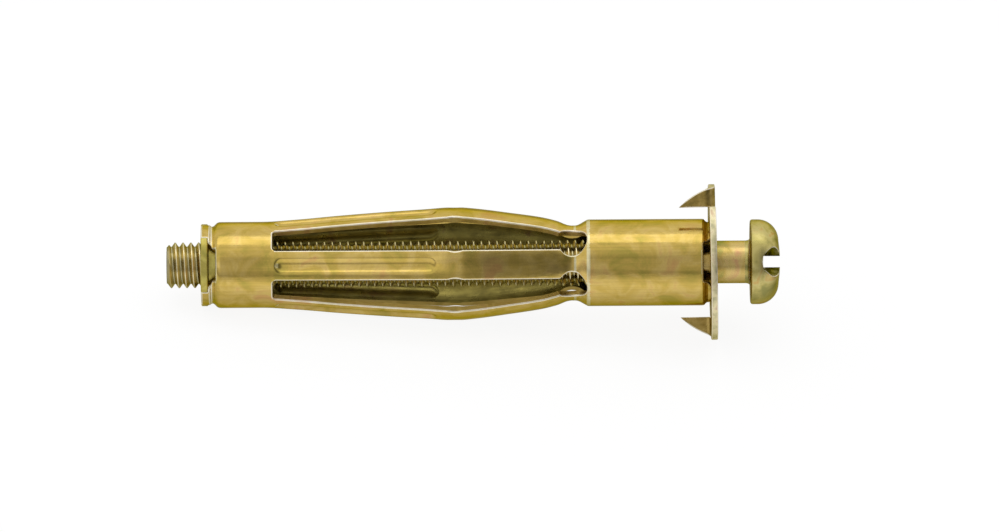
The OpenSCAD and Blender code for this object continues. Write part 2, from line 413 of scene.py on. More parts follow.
# Cold-rolled sheet under yellow chromate: warm gold with olive and rose drift
sheet_zinc = chromate(
    "yellow chromate on rolled sheet", ("#bfab52", "#d6b75e", "#e2c472", "#dbb06c"), 0.15, 0.16)
# Sheared thickness of the sheet: rough, so it gathers light from all round
cut_zinc = chromate(
    "yellow chromate on sheared sheet", ("#a8924a", "#b89c52", "#c6ac60", "#b69258"), 0.1, 0.45)
# Rounded arrises are painted pale straw, a painted highlight along the edges
edge_painted_highlight = chromate(
    "pale zinc on edges as a painted highlight", ("#f2e8c4", "#f8eed0", "#fff6e0", "#f6e2c4"), 0.05, 0.42)
# Pale plate on the folds, the groove's rear end and the recess ends: a painted highlight
painted_highlight_zinc = chromate(
    "pale plate painted as highlight on folds", ("#e2d498", "#ecdfa8", "#f4e9bc", "#e8d49c"), 0.15, 0.3)
# The inside of the sleeve, darkened as painted shade
inner_painted_shade = chromate(
    "chromate inside the sleeve darkened as painted shade", ("#746a38", "#8c8044", "#9a8e4c", "#826c44"), 0.3, 0.3)
# Machined nut: greener plate
nut_zinc = chromate(
    "yellow chromate on turned steel", ("#a69e50", "#c2b25a", "#dacd6e", "#c2a85a"), 0.1, 0.34)
# Stamped flange: brown-olive plate
flange_zinc = chromate(
    "yellow chromate on a stamped flange", ("#84753e", "#b09550", "#c8ad66", "#a8804e"), 0.15,
    0.3, seed=0.3, patch=1.6)
# The flange's sheared rim: grey-olive, hardly plated
rim_zinc = chromate(
    "grey zinc on the flange's sheared rim", ("#c4be98", "#e0d6a8", "#f4e8be", "#dcc4a2"), 0.1,
    0.42, seed=0.5, patch=1.2)
# Cold-headed, rolled-thread screw: bright gold, grey-olive in the thread's roots, a pale painted
# highlight on its crests
screw_zinc = chromate(
    "yellow chromate on a rolled screw", ("#a9a45a", "#d0b465", "#dfc47c", "#d9a878"), 0.08, 0.26,
    seed=0.7, thread=("#c4ba90", "#e8dcb0"))
# Upset head: greener gold
head_zinc = chromate(
    "yellow chromate on the screw's head", ("#a09a5c", "#c2b46c", "#d2c480", "#d0a460"), 0.05,
    0.28, seed=1.3, patch=2.2)
# Struck faces of the screwdriver slot: dark olive, a painted shade
recess_painted_shade = chromate(
    "chromate in the driver slot darkened as painted shade", ("#38381c", "#5a5630", "#8a8250", "#4a4428"), 0.1, 0.3,
    seed=0.2, patch=0.8)


# -------------------- repeats
def geometry_tree(name, takes):
    """A Geometry Nodes tree that makes a form of what it takes, and the sockets it gives."""
    tree = bpy.data.node_groups.new(name, "GeometryNodeTree")
    for socket, kind in takes.items():
        tree.interface.new_socket(socket, in_out="INPUT", socket_type="NodeSocket" + kind)
    tree.interface.new_socket("Made", in_out="OUTPUT", socket_type="NodeSocketGeometry")
    return tree, add(tree, "NodeGroupInput").outputs


def closed_tree(tree, form, finish):
    """Ends a tree with its form made real in its finish."""
    real = add(tree, "GeometryNodeRealizeInstances", {}, {"Geometry": form})
    done = add(tree, "GeometryNodeSetMaterial", {}, {"Geometry": real, "Material": finish})
    add(tree, "NodeGroupOutput", {}, {"Made": done})
    return tree


def repeat_tree():
    """Geometry Nodes that repeat a form evenly about the axis."""
    tree, given = geometry_tree("repeat about the axis", {
        "Form": "Geometry", "Count": "Int", "Finish": "Material"})
    dots = add(tree, "GeometryNodePoints", {}, {"Count": given["Count"]})
    index = add(tree, "GeometryNodeInputIndex")
    step = add(tree, "ShaderNodeMath", {"operation": "DIVIDE"},
               {0: 2 * math.pi, 1: given["Count"]})
    turn = add(tree, "ShaderNodeMath", {"operation": "MULTIPLY"}, {0: step, 1: index})
    spin = add(tree, "ShaderNodeCombineXYZ", {}, {"X": turn})
    spun = add(tree, "FunctionNodeEulerToRotation", {}, {"Euler": spin})
    copies = add(tree, "GeometryNodeInstanceOnPoints", {}, {
        "Points": dots, "Instance": given["Form"], "Rotation": spun})
    return closed_tree(tree, copies, given["Finish"])


def thread_tree():
    """Geometry Nodes that roll a thread: rows of the grid follow the helix."""
    sizes = ("Start", "End", "Pitch", "Crest", "Root", "Chamfer", "Plain")
    tree, given = geometry_tree("rolled thread", {
        **dict.fromkeys(sizes, "Float"), "Around": "Int", "Rows": "Int", "Finish": "Material"})
    made = {name: given[name] for name in (*sizes, "Around", "Rows")}
    remap, smooth = "ShaderNodeMapRange", {"interpolation_type": "SMOOTHSTEP"}
    # Each step: its name, its operation or node, then its numbers and earlier names
    steps = [
        ("across", "ADD", "Around", 1.0),
        ("down", "ADD", "Rows", 1.0),
        ("plate", ("GeometryNodeMeshGrid", {}), 1.0, 1.0, "down", "across"),
        ("index", ("GeometryNodeInputIndex", {})),
        ("index middle", "ADD", "index", 0.5),
        ("rows so far", "DIVIDE", "index middle", "across"),
        ("row", "FLOOR", "rows so far"),
        ("before", "MULTIPLY", "row", "across"),
        ("column", "SUBTRACT", "index", "before"),
        ("turn", "DIVIDE", "column", "Around"),
        # Eight rows to a pitch, set so that two of them edge the crest and two the root
        ("row middle", "ADD", "row", 0.5),
        ("pitches", "DIVIDE", "row middle", 8.0),
        ("turns", "ADD", "pitches", "turn"),
        ("turns on", "SUBTRACT", "turns", 2.0),
        ("free x", "MULTIPLY_ADD", "turns on", "Pitch", "Start"),
        ("past start", "MAXIMUM", "free x", "Start"),
        ("x", "MINIMUM", "past start", "End"),
        ("from start", "SUBTRACT", "x", "Start"),
        ("wound", "DIVIDE", "from start", "Pitch"),
        ("unwound", "SUBTRACT", "wound", "turn"),
        ("shifted", "ADD", "unwound", 8.0),
        ("phase", "FRACT", "shifted"),
        ("off middle", "SUBTRACT", "phase", 0.5),
        ("half off", "ABSOLUTE", "off middle"),
        ("off crest", "MULTIPLY", "half off", 2.0),
        ("cut", (remap, {}), "off crest", 0.125, 0.875, "Crest", "Root"),
        # The thread runs out into the plain shank, and a chamfer points the tip
        ("to end", "SUBTRACT", "End", "x"),
        ("run out", (remap, smooth), "to end", 0.0, 1.1, 0.0, 1.0),
        ("depth", "SUBTRACT", "cut", "Plain"),
        ("faded", "MULTIPLY_ADD", "run out", "depth", "Plain"),
        ("tip", "MULTIPLY_ADD", "from start", 1.2, "Chamfer"),
        ("radius", "MINIMUM", "faded", "tip"),
        # A right-hand thread: towards the viewer it moves on as it goes down
        ("angle", "MULTIPLY", "turn", -2 * math.pi),
        ("cosine", "COSINE", "angle"),
        ("sine", "SINE", "angle"),
        ("front", "MULTIPLY", "radius", "cosine"),
        ("y", "MULTIPLY", "front", -1.0),
        ("z", "MULTIPLY", "radius", "sine"),
        ("spot", ("ShaderNodeCombineXYZ", {}), "x", "y", "z"),
    ]
    for name, step, *terms in steps:
        kind, settings = step if isinstance(step, tuple) else (
            "ShaderNodeMath", {"operation": step})
        made[name] = add(tree, kind, settings, {
            i: made.get(term, term) for i, term in enumerate(terms)})
    rolled = add(tree, "GeometryNodeSetPosition", {}, {
        "Geometry": made["plate"], "Position": made["spot"]})
    return closed_tree(tree, rolled, given["Finish"])


def thread_rows(length):
    """Rows of the grid that cover a thread and the pitch or two lost at its ends."""
    return 8 * (int(length / PITCH) + 4)


def grown(mesh, tree, values):
    """The plain mesh that a Geometry Nodes tree makes from a mesh and its inputs."""
    obj = thing("growing", mesh)
    grow = obj.modifiers.new("nodes", "NODES")
    grow.node_group = tree
    for item in tree.interface.items_tree:
        if item.in_out == "INPUT" and item.name in values:
            grow[item.identifier] = values[item.name]
    made = baked(obj)
    made.polygons.foreach_set("material_index", [0] * len(made.polygons))
    return made


REPEAT = repeat_tree()
THREAD = thread_tree()


# -------------------- sleeve
SKIN_LINE = [
    [NUT_X, REAR_TAB_R], [-51.12, REAR_TAB_R], [-51.0, 3.93], [-50.8, 3.93], [-50.7, 3.99],
    [-50.42, 4.27], [-50.2, RING_R - 0.02], [-50.0, RING_R], [-45.9, RING_R], [-42.2, 4.60],
    [-38.2, 4.95], [-33.2, 5.33], [-29.0, 5.60], [-26.6, KNEE_R], [-25.6, KNEE_R],
    [-24.3, KNEE_R - 0.10], [-20.6, 5.18], [-17.3, 4.69], [-15.8, 4.33],
    [NECK_X - 0.3, NECK_R + 0.04], [NECK_X + 0.1, NECK_R], [NECK_X + 0.45, NECK_R],
    [NECK_X + 0.6, NECK_R + 0.02], [NECK_X + 1.55, COLLAR_R - 0.07],
    [NECK_X + 1.68, COLLAR_R - 0.01], [NECK_X + 1.8, COLLAR_R], [-0.82, COLLAR_R],
    [-0.42, FRONT_TAB_R], [FLANGE_T - 0.03, FRONT_TAB_R],
]
LEG_HALF_PITCH = math.pi / LEGS
TAB_HALF_PITCH = math.pi / TABS
# X where the five-fold and three-fold parts of the sleeve meet
REAR_SEAM, FRONT_SEAM = -48.0, -11.0
# Columns of the mesh across a leg and across half a slot
LEG_COLS, SLOT_COLS = 24, 9
# Room that the mesh leaves beside an edge for its rounding
EDGE_STEP = 0.22
# Bands of X with a pale painted highlight: on the neck, and in the recesses to the half angle
# given
NECK_PAINTED_HIGHLIGHT = ((NECK_X + 0.22, NECK_X + 0.5), (NECK_X + 1.58, NECK_X + 1.86))
RECESS_PAINTED_HIGHLIGHT = ((-50.7, -50.36, math.radians(26)), (-1.05, -0.8, math.radians(16)))
# The groove's rear end, with a pale painted highlight where the punch started
GROOVE_START_HIGHLIGHT_X, GROOVE_START_HIGHLIGHT_R = GROOVE_X0 + 0.34, 0.22


def skin(x):
    """Outer radius of the sleeve."""
    return blend_line(SKIN_LINE, x)


def groove_sink(x, across):
    """How deep the pressed groove is at a place on a leg."""
    nearest = min(max(x, GROOVE_X0 + GROOVE_R), GROOVE_X1 - GROOVE_R)
    off = math.hypot(x - nearest, across)
    sunk = math.sqrt(max(GROOVE_R ** 2 - off ** 2, 0)) - (GROOVE_R - GROOVE_DEEP)
    return (sunk + math.sqrt(sunk ** 2 + GROOVE_EDGE ** 2)) / 2


def skin_point(x, turn):
    """A point of the sleeve's outer skin, turn counted from the middle of a leg."""
    r = skin(x)
    if GROOVE_X0 - 0.4 < x < GROOVE_X1 + 0.4:
        r -= groove_sink(x, r * math.sin(turn))
    return polar(x, r, turn + LEG_TURN)


def plain_point(x, turn):
    """A point of the sleeve's outer skin, turn counted from the viewer's side."""
    return polar(x, skin(x), turn)


def leg_row(x, half):
    """Turns across a leg, with a wider first and last step for the rounded edge."""
    first = EDGE_STEP / skin(x)
    return [-half, *spread(-half + first, half - first, LEG_COLS - 2), half]


def painted_highlight_at(place):
    """Where a pale highlight is painted on the plate: folds, groove starts and recess ends."""
    x = place.x
    across = off_middle(turn_of(place) - LEG_TURN, LEG_HALF_PITCH) * skin(x)
    if math.hypot(x - GROOVE_START_HIGHLIGHT_X, across) < GROOVE_START_HIGHLIGHT_R:
        return True
    if any(low < x < high for low, high in NECK_PAINTED_HIGHLIGHT):
        return True
    off = abs(off_middle(turn_of(place), TAB_HALF_PITCH))
    return any(low < x < high and off < half for low, high, half in RECESS_PAINTED_HIGHLIGHT)


def corner_gap(off, corner):
    """How far a rounded corner stands in from the side it rounds off."""
    return corner - math.sqrt(max(corner ** 2 - off ** 2, 0))


def knee_pinch(x):
    """How far the folded knee's edges are drawn in."""
    if abs(x - KNEE_X) >= NICK_R:
        return 0
    return max(math.sqrt(NICK_R ** 2 - (x - KNEE_X) ** 2) - (NICK_R - NICK_DEEP), 0)


def leg_half_turn(x):
    """Half the angle that a leg covers."""
    half = LEG_HALF - knee_pinch(x)
    if x < SLOT_X + SLOT_CORNER:
        half += corner_gap(SLOT_X + SLOT_CORNER - x, SLOT_CORNER)
    turn = math.asin(half / skin(x))
    if abs(x - NECK_X) < RELIEF_R:
        hole = math.sqrt(RELIEF_R ** 2 - (x - NECK_X) ** 2)
        turn = min(turn, LEG_HALF_PITCH - math.asin(hole / skin(x)))
    return turn


# A closed end is drawn to the middle of its round corner; the side takes the rest
CORNER_PART = 1 - math.sqrt(0.5)


def closed_end(x_flat, way, half_turn, corner, count, centre):
    """A slot's closed end as [x, turn], from its middle to the middle of its corner."""
    r = skin(x_flat + way * corner)
    half = r * half_turn
    flat = half - corner
    length = flat + corner * math.pi / 4
    points = []
    for s in spread(0, length, count):
        if s <= flat:
            points.append((x_flat, centre - s / r))
        else:
            a = (s - flat) / corner
            points.append((x_flat + way * corner * (1 - math.cos(a)),
                           centre - (flat + corner * math.sin(a)) / r))
    return points


def sheet_between(lower, upper, steps, point=skin_point):
    """Sheet between two edges of [x, turn] points with equally many points."""
    return sheet_of([[point(a[0] + (b[0] - a[0]) * t, a[1] + (b[1] - a[1]) * t)
                      for a, b in zip(lower, upper)] for t in steps])


def leg_sector():
    """One leg with its share of the rings behind and in front of it."""
    # Rear: from the seam to the slots' closed ends. The seams stand with the tabs
    columns = LEG_COLS + 2 * SLOT_COLS
    seam_turns = [a - LEG_TURN for a in spread(-LEG_HALF_PITCH, LEG_HALF_PITCH, columns)]
    start_x = SLOT_X + SLOT_CORNER * CORNER_PART
    corner_x = SLOT_X + SLOT_CORNER
    slot_turn = LEG_HALF_PITCH - leg_half_turn(corner_x)
    top = closed_end(SLOT_X, 1, slot_turn, SLOT_CORNER, SLOT_COLS, LEG_HALF_PITCH)
    bottom = [(x, -a) for x, a in top]
    middle = [(start_x, a) for a in leg_row(start_x, leg_half_turn(start_x))]
    rear_end = bottom + middle[1:-1] + top[::-1]
    last = 1 - EDGE_STEP / (SLOT_X - REAR_SEAM)
    rear = sheet_between([(REAR_SEAM, a) for a in seam_turns], rear_end,
                         [*spread(0, last, 13), 1.0])
    # The leg itself, with rows from each X to the next, closer where it curves
    hole_x = NECK_X + RELIEF_R * math.sqrt(0.5)
    marks = [(start_x, 4), (corner_x, 10), (GROOVE_X0 + 1.6, 44), (KNEE_X - 2.5, 24),
             (KNEE_X + NICK_R, 26), (NECK_X - RELIEF_R, 22), (hole_x, 0)]
    stops = [x for (a, count), (b, _) in zip(marks, marks[1:]) for x in spread(a, b, count)[:-1]]
    leg = sheet_of([[skin_point(x, a) for a in leg_row(x, leg_half_turn(x))]
                    for x in (*stops, hole_x)])
    # Front: from the relief holes to the collar
    hole = []
    for a in spread(math.pi / 4, math.pi / 2, SLOT_COLS):
        x = NECK_X + RELIEF_R * math.sin(a)
        hole.append((x, LEG_HALF_PITCH - math.asin(RELIEF_R * math.cos(a) / skin(x))))
    low_hole = [(x, -a) for x, a in hole]
    middle = [(hole_x, a) for a in leg_row(hole_x, leg_half_turn(hole_x))]
    front_start = low_hole[::-1] + middle[1:-1] + hole
    front = sheet_between(front_start, [(FRONT_SEAM, a) for a in seam_turns],
                          [0.0, *spread(0.1, 1, 16)])
    return [rear, leg, front]


def tab_sector(seam_x, flat_x, end_x, side_line, recess_cols, rows, tab_rows):
    """A third of a sleeve end: a recess in the middle and half a tab on each side.

    side_line gives the recess's half angle along the tab as [x, turn]. The mesh has
    that many columns in half the recess, rows to the recess, and rows at tab_rows.
    """
    half_cols = (LEG_COLS + 2 * SLOT_COLS) * LEGS // TABS // 2
    tab_cols = half_cols - recess_cols
    seam = [(seam_x, a) for a in spread(-TAB_HALF_PITCH, TAB_HALF_PITCH, 2 * half_cols)]
    way = 1 if end_x > flat_x else -1
    start_x = flat_x + way * RECESS_CORNER * CORNER_PART
    corner_x = flat_x + way * RECESS_CORNER
    recess = [(x, -a) for x, a in closed_end(flat_x, way, side_line[0][1], RECESS_CORNER,
                                             recess_cols, 0)]
    tab = [(start_x, a) for a in tab_turns(recess[-1][1], start_x, tab_cols)]
    half_line = recess + tab[1:]
    whole = [(x, -a) for x, a in half_line[:0:-1]] + half_line
    last = 1 - EDGE_STEP / abs(flat_x - seam_x)
    parts = [sheet_between(seam, whole, [*spread(0, last, rows - 1), 1.0], plain_point)]
    for side in (1, -1):
        lines = []
        for x in (start_x, flat_x + way * RECESS_CORNER * 0.6, *tab_rows):
            edge = side_turn(side_line, x, way)
            off = way * (corner_x - x)
            if off > 0:
                edge = side_line[0][1] - corner_gap(off, RECESS_CORNER) / skin(corner_x)
            lines.append([plain_point(x, side * a) for a in tab_turns(edge, x, tab_cols)])
        parts.append(sheet_of(lines))
    return parts


def tab_turns(edge, x, count):
    """Turns from a tab's edge to its middle, with a wider first step for the rounded edge."""
    first = edge + EDGE_STEP / skin(x)
    return [edge, *spread(first, TAB_HALF_PITCH, count - 1)]


def side_turn(line, x, way):
    """Straight reading of the recess's half angle along a tab."""
    pairs = line if way > 0 else line[::-1]
    if x <= pairs[0][0]:
        return pairs[0][1]
    for (xa, a), (xb, b) in zip(pairs, pairs[1:]):
        if x <= xb:
            return a + (b - a) * (x - xa) / (xb - xa)
    return pairs[-1][1]


def make_sleeve():
    """The sleeve: five grooved legs between a crimped ring and a plain collar."""
    legs = grown(welded(leg_sector()), REPEAT, {"Count": LEGS, "Finish": sheet_zinc})
    # Recesses widen from the crimp to the tab that stands beside them
    rear_x, rear_turn = REAR_RECESS_X - RECESS_CORNER, TAB_HALF_PITCH - REAR_TAB_TURN
    rear_side = [(rear_x, math.asin(1.62 / 4.0)), (-51.3, rear_turn), (NUT_X, rear_turn)]
    rear = tab_sector(REAR_SEAM, REAR_RECESS_X, NUT_X, rear_side, 14, 18,
                      spread(rear_x, NUT_X + 0.2, 10) + [NUT_X])
    front_x, front_turn = FRONT_RECESS_X + RECESS_CORNER, TAB_HALF_PITCH - FRONT_TAB_TURN
    seat_x, end = SEAT_DEEP - 0.02 + FLANGE_X, FLANGE_T - 0.03 + FLANGE_X
    front_side = [(front_x, math.asin(1.98 / 4.2)), (-0.32, math.asin(2.2 / FRONT_TAB_R)),
                  (seat_x - 0.2, math.asin(2.22 / FRONT_TAB_R)), (seat_x, front_turn),
                  (FLANGE_T, front_turn)]
    front = tab_sector(FRONT_SEAM, FRONT_RECESS_X, end, front_side, 15, 14,
                       [front_x, -0.44, -0.32, seat_x - 0.2, seat_x, 0.16, end])
    ends = [grown(welded(part), REPEAT, {"Count": TABS, "Finish": sheet_zinc})
            for part in (rear, front)]
    skin_mesh = outward(welded([legs, *ends], 1e-3))
    finishes = (sheet_zinc, cut_zinc, inner_painted_shade, edge_painted_highlight, painted_highlight_zinc)
    dress(skin_mesh, finishes)
    # The inner side wears the dark finish of painted shade, the edges the cut finish
    walled = thickened(skin_mesh, SHEET, 2, 1)
    # A pale highlight is painted on the neck's folds, the groove's rear end and the recess ends
    for face in walled.polygons:
        if face.material_index == 0 and painted_highlight_at(face.center):
            face.material_index = 4
    # The fold pinches the sheet's outer side only; its inner side swells a little
    for v in walled.vertices:
        pinch = knee_pinch(v.co.x)
        r = math.hypot(v.co.y, v.co.z)
        if pinch and r < skin(v.co.x) - SHEET / 2:
            turn = turn_of(v.co)
            swell = pinch * (1 + NICK_BULGE / NICK_DEEP) / (LEG_HALF - pinch)
            off = off_middle(turn - LEG_TURN, LEG_HALF_PITCH)
            v.co = polar(v.co.x, r, turn + off * swell)

    def inner(place):
        """The sheet's inner arrises, which stay sharp."""
        return math.hypot(place.y, place.z) < skin(place.x) - SHEET / 2

    # The rounded edges wear the pale finish, a painted highlight
    walled = softened(walled, 0.14, 3, 55, 3, inner)
    return finished("anchor_sleeve_sheet", walled, finishes, "anchor",
                    ["anchor_sleeve"], 50)


# -------------------- nut
def make_nut():
    """The nut: a notched rim, a round boss and a threaded bore."""
    notch_r = REAR_TAB_R - SHEET - TAB_GAP
    notch_half = REAR_TAB_TURN + math.asin(TAB_GAP / notch_r)
    rim_end = NUT_X + RIM_T
    boss_end = rim_end + BOSS_L
    bore_from, bore_to, bore_r = NUT_X + NUT_SINK, boss_end - 0.3, NUT_ROOT_R - 0.05
    rows = [  # x, radius, whether the notches cut it
        (bore_from, NUT_ROOT_R, 0), (NUT_X, NUT_ROOT_R + 0.12, 0), (NUT_X, RIM_R - 0.08, 1),
        (NUT_X + 0.08, RIM_R, 1), (rim_end - 0.08, RIM_R, 1), (rim_end, RIM_R - 0.08, 1),
        (rim_end, BOSS_R + 0.12, 0), (rim_end + 0.12, BOSS_R, 0), (boss_end - 0.25, BOSS_R, 0),
        (boss_end, BOSS_R - 0.25, 0), (boss_end, NUT_ROOT_R + 0.02, 0), (bore_to, bore_r, 0)]
    turns = []
    for k in range(TABS):
        start = TAB_HALF_PITCH * (2 * k + 1) - notch_half
        end, following = start + 2 * notch_half, start + 2 * TAB_HALF_PITCH
        turns += [(a, True) for a in spread(start, end, 12)]
        turns += [(a, False) for a in spread(end, following, 30)]
    body = sheet_of([[polar(x, min(r, notch_r) if cut and in_notch else r, a)
                      for a, in_notch in turns + turns[:1]] for x, r, cut in rows])
    bore = grown(mesh_of([], []), THREAD, {
        "Start": bore_from, "End": bore_to, "Pitch": PITCH, "Crest": NUT_CREST_R,
        "Root": NUT_ROOT_R, "Chamfer": 9.0, "Plain": bore_r, "Around": 64,
        "Rows": thread_rows(bore_to - bore_from), "Finish": nut_zinc})
    return finished("end_nut_body", outward(welded([body, bore], 1e-3)), (nut_zinc,), "anchor",
                    ["end_nut"])


# -------------------- flange
def circle(r, turns):
    """Points [y, z] of a circle in the flange, turns counted from +Y."""
    return [(r * math.cos(a), r * math.sin(a)) for a in turns]


def folded(y, z):
    """Where a place on the flat tooth goes when the tooth is folded back."""
    s = y - FOLD_Y
    out = FOLD_R + FLANGE_T
    if s <= 0:
        x = FLANGE_T
    elif s < FOLD_LEN:
        a = s / FOLD_LEN * math.pi / 2
        x, y = -FOLD_R + out * math.cos(a), FOLD_Y + out * math.sin(a)
    else:
        x, y = -FOLD_R - (s - FOLD_LEN), FOLD_Y + out
    return (x, y, -z)


def make_flange():
    """The flange: a stamped disc with two teeth folded back from its edge."""
    fold_z = math.sqrt(FLANGE_R ** 2 - FOLD_Y ** 2)
    tooth_cols = 8
    outline = []
    first, last = math.atan2(-TOOTH_IN, NOTCH_Y), math.atan2(fold_z, -FOLD_Y)
    for side, half_turn in ((-1, 0), (1, math.pi)):
        outline += circle(FLANGE_R, spread(first + half_turn, last + half_turn, 90))
        outline += [(side * FOLD_Y, -side * z) for z in spread(fold_z, TOOTH_IN, tooth_cols)[1:]]
    slot_in, slot_out = FRONT_TAB_R - SHEET - TAB_GAP, FRONT_TAB_R + TAB_GAP
    slot_half = FRONT_TAB_TURN + math.asin(TAB_GAP / slot_in)
    holes = [circle(FLANGE_BORE_R, spread(0, 2 * math.pi, 72)[:-1])]
    for k in range(TABS):
        # Counted from +Y here and from -Y along the sleeve
        middle = math.pi - TAB_HALF_PITCH * (2 * k + 1)
        turns = spread(middle + slot_half, middle - slot_half, 16)
        holes.append(circle(slot_out, turns) + circle(slot_in, turns[::-1]))
    form = bmesh.new()

    def loop(points):
        """A closed ring of points in the flange's outer face."""
        ring = [form.verts.new((FLANGE_T, *p)) for p in points]
        for a, b in zip(ring, ring[1:] + ring[:1]):
            form.edges.new((a, b))
        return ring

    def fill(*rings):
        """Fills the face between closed rings."""
        edges = [form.edges.get(pair) for ring in rings
                 for pair in zip(ring, ring[1:] + ring[:1])]
        bmesh.ops.triangle_fill(form, edges=edges, use_beauty=True, normal=(1, 0, 0))

    all_round = spread(0, 2 * math.pi, 96)[:-1]
    seat = loop(circle(SEAT_R, all_round))
    fill(seat, *[loop(hole) for hole in holes])
    brim = loop(circle(SEAT_R + SEAT_SLOPE, all_round))
    fill(brim, loop(outline))
    # The step of the coined seat, which only the wall side shows
    for a, b, c, d in zip(seat, seat[1:] + seat[:1], brim[1:] + brim[:1], brim):
        form.faces.new((a, b, c, d))
    mesh = bpy.data.meshes.new("disc")
    form.to_mesh(mesh)
    form.free()
    fold_end = FOLD_Y + FOLD_LEN
    tooth = welded([sheet_of([
        [folded(y, z) for z in spread(
            TOOTH_IN, max(math.sqrt(max(FLANGE_R ** 2 - y ** 2, 0)), TOOTH_IN), tooth_cols)]
        for y in spread(FOLD_Y, fold_end, 12) + spread(fold_end, NOTCH_Y, 16)[1:]])])
    teeth = grown(tooth, REPEAT, {"Count": 2, "Finish": flange_zinc})
    whole = outward(welded([mesh, teeth], 1e-3))
    disc = [f for f in whole.polygons if f.center.x > FLANGE_T - 0.01
            and math.hypot(f.center.y, f.center.z) < 5]
    if sum(f.normal.x * f.area for f in disc) < 0:
        whole.flip_normals()
    finishes = (flange_zinc, rim_zinc, edge_painted_highlight)
    dress(whole, finishes)
    solid = thickened(whole, FLANGE_T, 0, 1)
    for v in solid.vertices:
        if abs(v.co.x) < 0.01 and math.hypot(v.co.y, v.co.z) < SEAT_R + 0.01:
            v.co.x = SEAT_DEEP

    def near_point(place):
        """The last of a tooth, too narrow to be rounded."""
        return place.x < 0.35 - TOOTH_L

    # The rounded edges wear the pale finish, a painted highlight
    plate = softened(solid, 0.09, 2, 50, 2, near_point)
    plate.transform(Matrix.Translation((FLANGE_X, 0, 0)) @ Matrix.Rotation(-FLANGE_LEAN, 4, "Y"))
    return finished("toothed_flange_plate", plate, finishes, "anchor",
                    ["toothed_flange"], 40)


# -------------------- screw
# Half the outline of the slot's flared end as [height over the slot's floor, z], then
# its rings from the middle of the head outwards as [distance, lift, height, width]
FLARE = [(3.14, 2.9), (1.19, 1.75), (0.84, 1.45), (0.49, 1.15), (0.09, 0.75), (-0.12, 0.0)]
FLARE_RINGS = ((1.4, 0.184, 0.7, 0.25), (3.5, 0, 1, 0.97), (5.0, 0, 1, 1.05))


def solid_through(rings):
    """A closed solid through rings of equally many points."""
    count = len(rings[0])
    last = (len(rings) - 1) * count
    sides = [(r + i, r + (i + 1) % count, r + count + (i + 1) % count, r + count + i)
             for r in range(0, last, count) for i in range(count)]
    ends = [tuple(range(count)), tuple(range(last, last + count))]
    return mesh_of([point for ring in rings for point in ring], sides + ends)


def upset_head():
    """The head before it is struck: flat underside, round rim, low dome."""
    flat = HEAD_R - HEAD_ROUND
    under = [(HEAD_X - 0.6, 0), (HEAD_X - 0.6, SHANK_R)]
    under += [(HEAD_X - back, SHANK_R + out) for out, back in
              ((0, 0.42), (0.03, 0.25), (0.1, 0.1), (0.24, 0.03), (0.4, 0))]
    side = arc(HEAD_X + 0.25, HEAD_R - 0.25, 0.25, -90, 0, 6)
    top = arc(HEAD_X + HEAD_SIDE, flat, HEAD_ROUND, 0, 90, 20)
    dome = [(TOP_X - DOME_R + math.sqrt(DOME_R ** 2 - r ** 2), r)
            for r in spread(flat, 0, 10)[1:]]
    return welded([turned(under + side + top + dome, 96)])


def driver_punches():
    """What the driver punches take out of the head: slot, flared slot ends, cross."""
    floor_x, half, past = TOP_X - DRIVE_DEEP, DRIVE_W / 2, 8
    punches = [solid_through([
        [(x, -past, -half), (x, past, -half), (x, past, half), (x, -past, half)]
        for x in (floor_x, TOP_X + 2)])]
    flare = FLARE + [(h, -z) for h, z in FLARE[-2::-1]]
    for way in (-1, 1):
        punches.append(solid_through([
            [(floor_x + lift + h * tall, way * away, z * wide) for h, z in flare]
            for away, lift, tall, wide in FLARE_RINGS]))
    # The cross's arms grow longer from its foot to past the top, a little thinner than the slot
    foot = CROSS_ARM - 1.0
    outline = [(0, -foot), (0, foot), (CROSS_DEEP + 1, CROSS_ARM), (CROSS_DEEP + 1, -CROSS_ARM)]
    half = DRIVE_W / 2 - 0.06
    for turn in (0, math.pi / 2):
        arm = solid_through([[(TOP_X - CROSS_DEEP + h, y, z) for h, y in outline]
                             for z in (-half, half)])
        arm.transform(Matrix.Rotation(turn, 4, "X"))
        punches.append(arm)
    return punches


def struck_head(finishes):
    """The head with its recess struck in painted shade and its edges rounded in a pale painted
    highlight, in the last three finishes.
    """
    head = upset_head()
    head.materials.append(head_zinc)
    obj = thing("heading", outward(head))
    tools = []
    for form in driver_punches():
        form.materials.append(recess_painted_shade)
        tools.append(thing("punch", outward(form)))
        punch = obj.modifiers.new("punch", "BOOLEAN")
        punch.object, punch.operation, punch.solver = tools[-1], "DIFFERENCE", "EXACT"
        punch.material_mode = "TRANSFER"
    struck = baked(obj)
    for tool in tools:
        bpy.data.objects.remove(tool)
    # Faces the punches cut wear the slot's dark painted shade
    names = [material.name for material in struck.materials]
    for face in struck.polygons:
        face.material_index = 2 if names[face.material_index] == recess_painted_shade.name else 1
    dress(struck, finishes)

    def at_mouth(place):
        """The slot's mouth in the dome, where the flare leaves points too thin to round."""
        return place.x > TOP_X - 0.6 and abs(place.z) < 1

    # The rounded edges wear the pale finish, a painted highlight
    return softened(struck, 0.045, 2, 28, 3, at_mouth)


